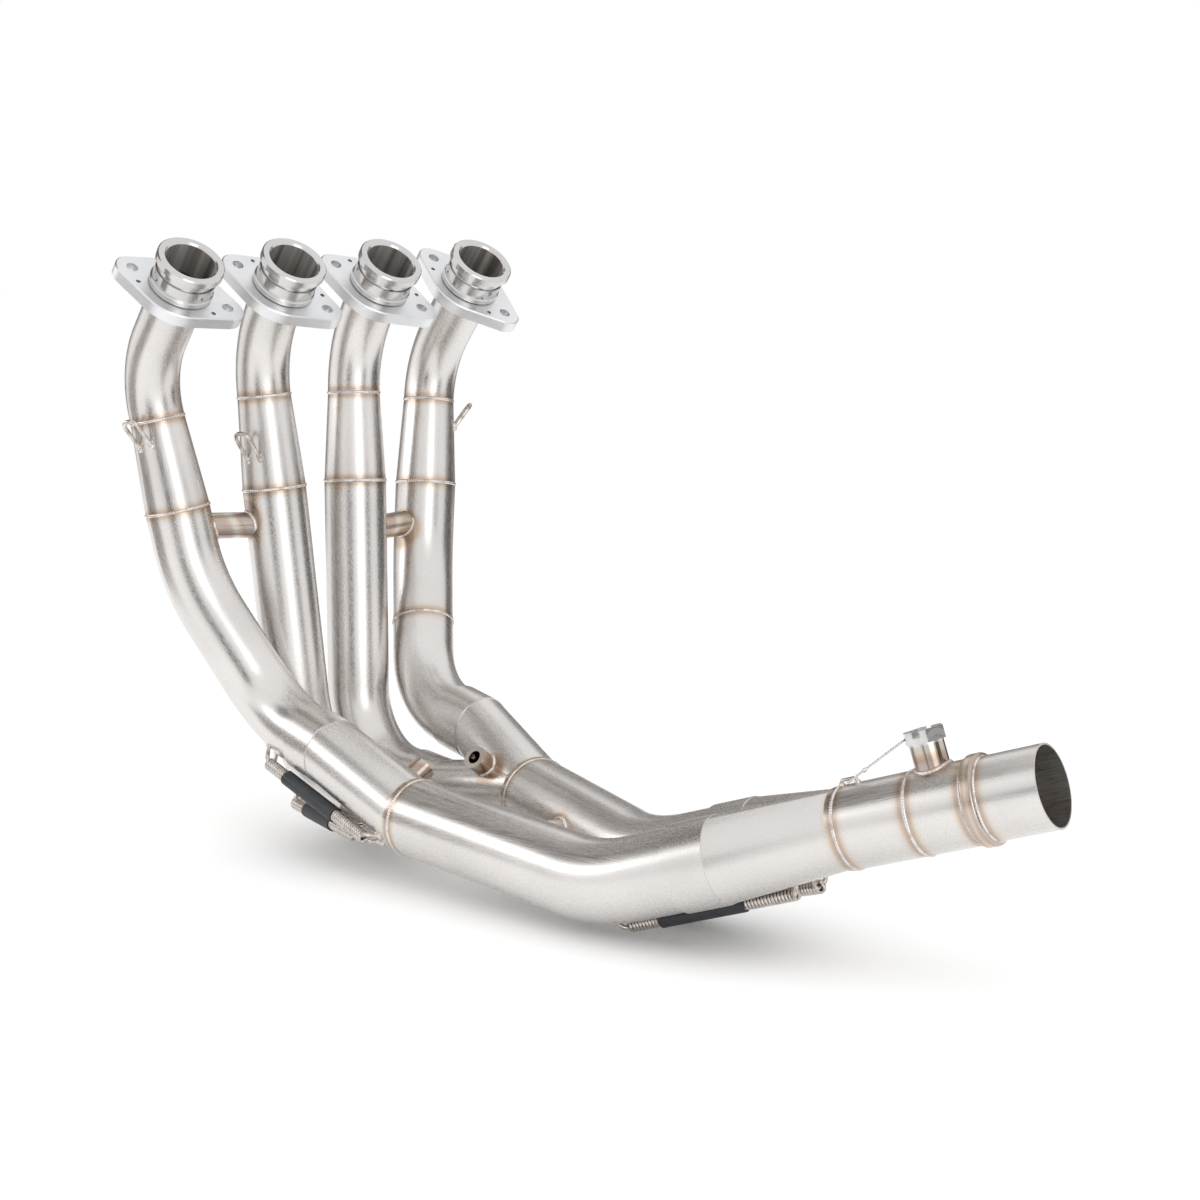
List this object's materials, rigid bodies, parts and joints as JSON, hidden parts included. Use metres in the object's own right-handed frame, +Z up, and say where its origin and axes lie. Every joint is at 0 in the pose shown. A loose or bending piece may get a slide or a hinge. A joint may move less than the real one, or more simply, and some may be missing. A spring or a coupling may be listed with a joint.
{
  "type": "motorcycle exhaust header",
  "caption": "Stainless exhaust header for an in-line motorcycle engine, its tapered primaries running through sprung collectors into one tail outlet, with loose port flanges.",
  "frame": {"origin": "middle of the row of ports, on the plane of the sealing rims", "axes": "+X to the rear of the machine, +Y along the row of ports to the right, +Z up"},
  "size_m": [0.7169, 0.3355, 0.4581],
  "materials": {
    "turned_steel": "mirror polished",
    "milled_steel": "satin, fine milled",
    "silicone": "matt",
    "spring_steel": "bright drawn wire",
    "hook_wire": "bright drawn wire",
    "lock_wire": "bright drawn wire",
    "boss_steel": "turned, heat-tinted",
    "washer_metal": "satin",
    "cone_steel": "brushed",
    "tail_steel": "brushed",
    "collector_steel": "brushed",
    "tube_steel": "brushed"
  },
  "bodies": {
    "header": {"boss_plug": "boss_steel", "boss_sleeve": "tail_steel", "collector_12": "collector_steel", "collector_34": "collector_steel", "collector_hooks": "hook_wire", "collector_sleeve": "tail_steel", "cross_tube_12": "tube_steel", "cross_tube_34": "tube_steel", "cross_tube_links": "tube_steel", "final_collector": "collector_steel", "link_tube_12": "tube_steel", "link_tube_34": "tube_steel", "lock_wire": "lock_wire", "lower_tube_1": "tube_steel", "lower_tube_2": "tube_steel", "lower_tube_3": "tube_steel", "lower_tube_4": "tube_steel", "main_boss": "boss_steel", "middle_tube_4": "tube_steel", "outlet_tube": "tail_steel", "plug_washer": "washer_metal", "port_spigot_1": "turned_steel", "port_spigot_2": "turned_steel", "port_spigot_3": "turned_steel", "port_spigot_4": "turned_steel", "sensor_boss_12": "boss_steel", "sensor_boss_34": "boss_steel", "spare_hooks": "hook_wire", "spring_front_link": "spring_steel", "spring_primary_1": "spring_steel", "spring_primary_2": "spring_steel", "spring_primary_3": "spring_steel", "spring_primary_4": "spring_steel", "spring_rear_link": "spring_steel", "spring_sleeve_front_link": "silicone", "spring_sleeve_primary_1": "silicone", "spring_sleeve_primary_2": "silicone", "spring_sleeve_primary_3": "silicone", "spring_sleeve_primary_4": "silicone", "spring_sleeve_rear_link": "silicone", "step_band": "tail_steel", "taper_tube_1": "cone_steel", "taper_tube_2": "cone_steel", "taper_tube_3": "cone_steel", "taper_tube_4": "cone_steel", "tube_hooks": "hook_wire", "upper_bend_1": "tube_steel", "upper_bend_2": "tube_steel", "upper_bend_3": "tube_steel", "upper_bend_4": "tube_steel", "wire_staple": "hook_wire"},
    "flange_1": {"port_flange_1": "milled_steel"},
    "flange_2": {"port_flange_2": "milled_steel"},
    "flange_3": {"port_flange_3": "milled_steel"},
    "flange_4": {"port_flange_4": "milled_steel"}
  },
  "joints": [
    {"name": "flange_1_turn", "type": "hinge", "parent": "header", "child": "flange_1", "pos_m": [-0.02111, -0.1305, -0.02345], "axis": [0.6691, 0, 0.7431], "range_deg": [-15, 15]},
    {"name": "flange_2_turn", "type": "hinge", "parent": "header", "child": "flange_2", "pos_m": [-0.02111, -0.0435, -0.02345], "axis": [0.6691, 0, 0.7431], "range_deg": [-15, 15]},
    {"name": "flange_3_turn", "type": "hinge", "parent": "header", "child": "flange_3", "pos_m": [-0.02111, 0.0435, -0.02345], "axis": [0.6691, 0, 0.7431], "range_deg": [-15, 15]},
    {"name": "flange_4_turn", "type": "hinge", "parent": "header", "child": "flange_4", "pos_m": [-0.02111, 0.1305, -0.02345], "axis": [0.6691, 0, 0.7431], "range_deg": [-15, 15]}
  ]
}
